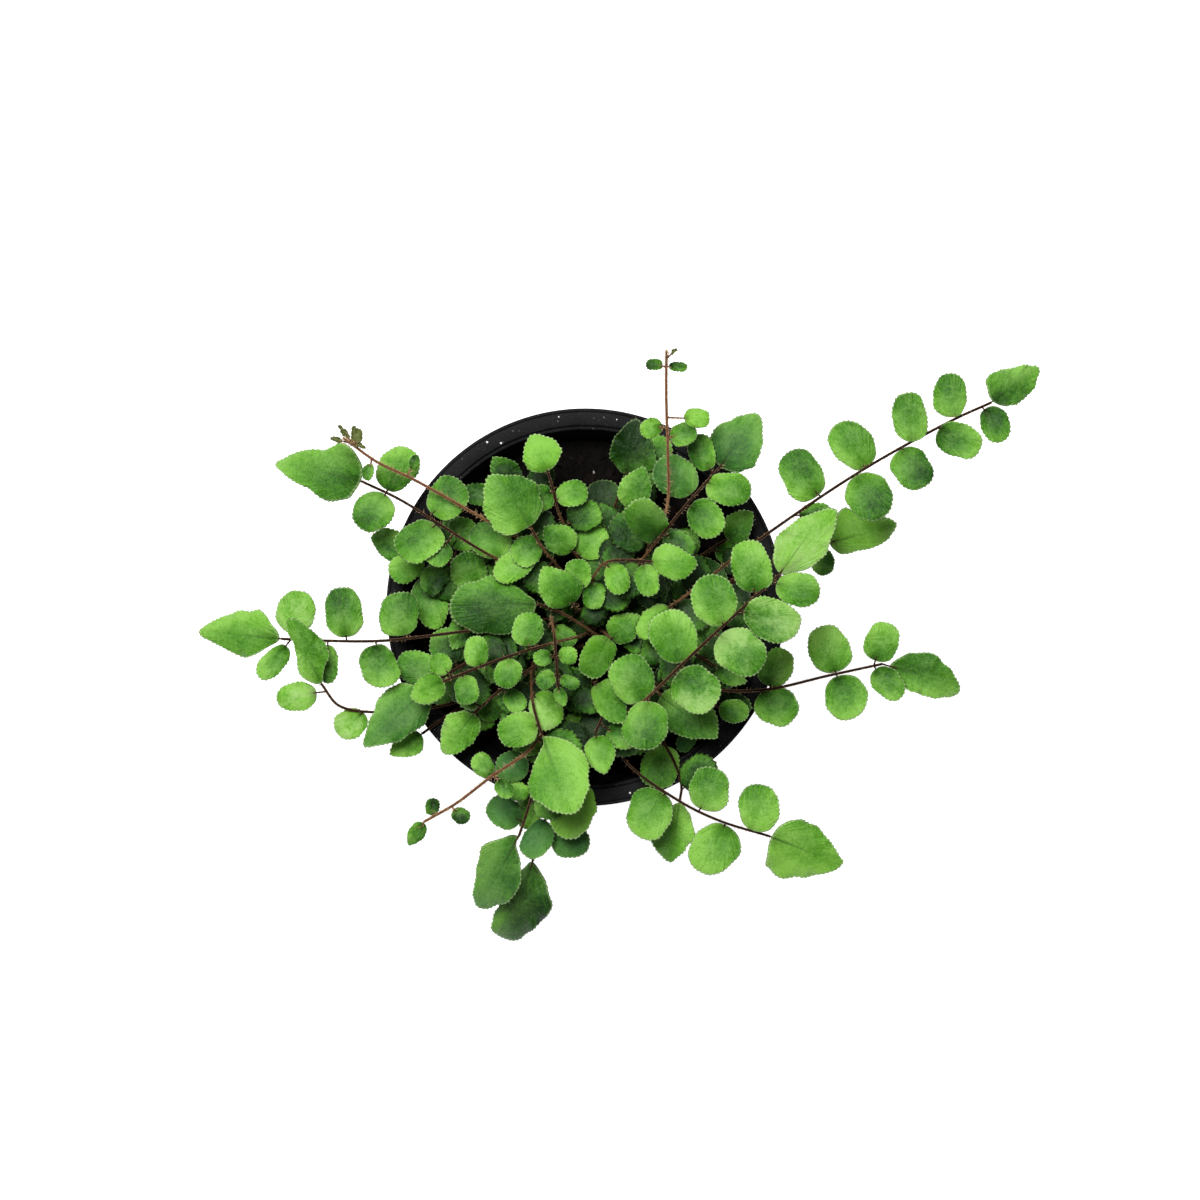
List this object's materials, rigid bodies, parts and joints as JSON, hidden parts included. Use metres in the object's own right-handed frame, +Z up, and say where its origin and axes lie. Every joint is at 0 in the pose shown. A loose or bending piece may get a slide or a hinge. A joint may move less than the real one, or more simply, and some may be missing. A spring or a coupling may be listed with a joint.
{
  "type": "potted button fern",
  "caption": "Small house fern with dark wiry stalks and round scalloped leaflets, spreading from a plain round black nursery pot filled with potting mix.",
  "frame": {"origin": "centre of the pot's base, on the surface that it stands on", "axes": "+Z up along the pot's axis, +X towards the longest arching frond's side, +Y towards the back"},
  "size_m": [0.2509, 0.1792, 0.1493],
  "materials": {
    "pot_plastic": "satin",
    "potting_mix": "matte",
    "leaf_green": "satin"
  },
  "bodies": {
    "root": {"pot": "pot_plastic", "soil": "potting_mix", "frond_centre_young": "leaf_green", "frond_north_young": "leaf_green", "frond_northeast_long": "leaf_green", "frond_east_front": "leaf_green", "frond_northwest_young": "leaf_green", "frond_west_small_upper": "leaf_green", "frond_northeast_upper": "leaf_green", "frond_centre_east": "leaf_green", "frond_northwest": "leaf_green", "frond_north_northwest": "leaf_green", "frond_south_front": "leaf_green", "frond_southwest_young": "leaf_green", "frond_north_small": "leaf_green", "frond_west": "leaf_green", "frond_west_small_lower": "leaf_green", "frond_centre_west": "leaf_green", "frond_south_centre": "leaf_green", "frond_west_southwest": "leaf_green", "frond_south_middle": "leaf_green", "frond_southeast_middle": "leaf_green", "frond_west_middle": "leaf_green", "frond_centre_north": "leaf_green", "frond_north_middle": "leaf_green", "frond_northeast_behind": "leaf_green", "frond_east": "leaf_green", "frond_east_middle": "leaf_green", "frond_southeast": "leaf_green", "frond_southwest": "leaf_green", "frond_west_northwest": "leaf_green", "frond_northeast_low": "leaf_green", "frond_south_low": "leaf_green", "frond_west_low": "leaf_green", "frond_south_left": "leaf_green", "frond_south_right": "leaf_green", "frond_centre_low": "leaf_green", "frond_west_inner": "leaf_green", "frond_southwest_low": "leaf_green", "frond_south_folded": "leaf_green", "frond_north_low": "leaf_green", "frond_north_deep": "leaf_green", "frond_southeast_deep": "leaf_green"}
  },
  "joints": []
}
